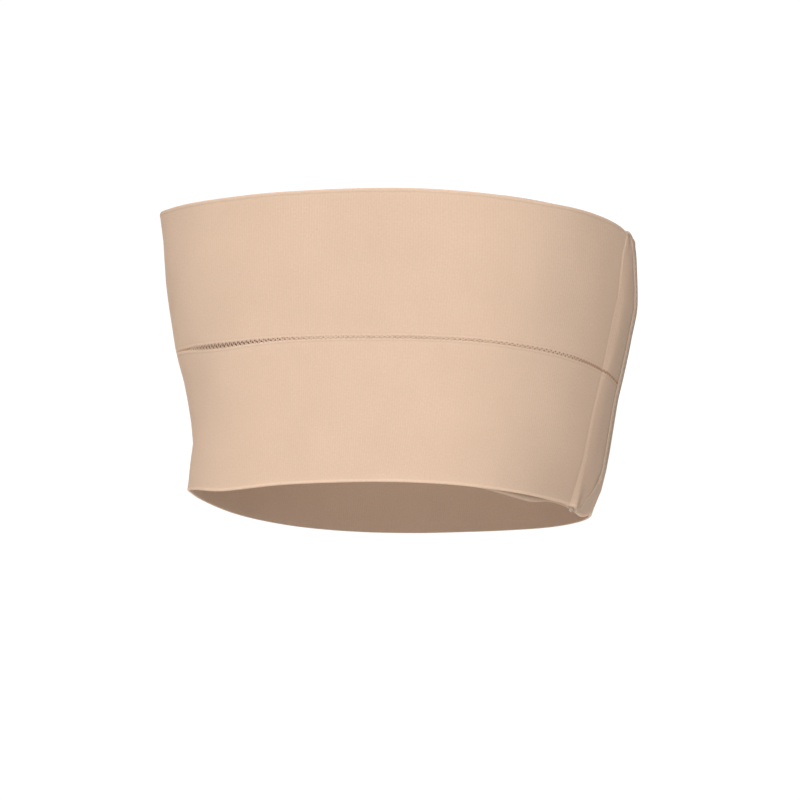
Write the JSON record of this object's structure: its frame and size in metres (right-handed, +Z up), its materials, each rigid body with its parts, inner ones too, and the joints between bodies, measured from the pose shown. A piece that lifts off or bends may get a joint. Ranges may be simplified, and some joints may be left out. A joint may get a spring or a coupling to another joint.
{
  "type": "rib belt",
  "caption": "Elastic rib belt closed round the chest: upper and lower webs sewn edge to edge, lapped at the side over a hook strip, with a bound outer end.",
  "frame": {"origin": "on the torso's axis at the level of the seam between the two webs at the front", "axes": "+Z up along the torso, the front of the belt faces -Y, +X is the viewer's right, where the belt closes"},
  "size_m": [0.2681, 0.2117, 0.1671],
  "materials": {
    "web": "matte ribbed beige elastic webbing",
    "hook": "matte beige hook fastener tape",
    "binding": "matte beige binding tape"
  },
  "bodies": {
    "root": {"upper_band": "web", "lower_band": "web", "hook_strip": "hook", "end_binding": "binding"}
  },
  "joints": []
}
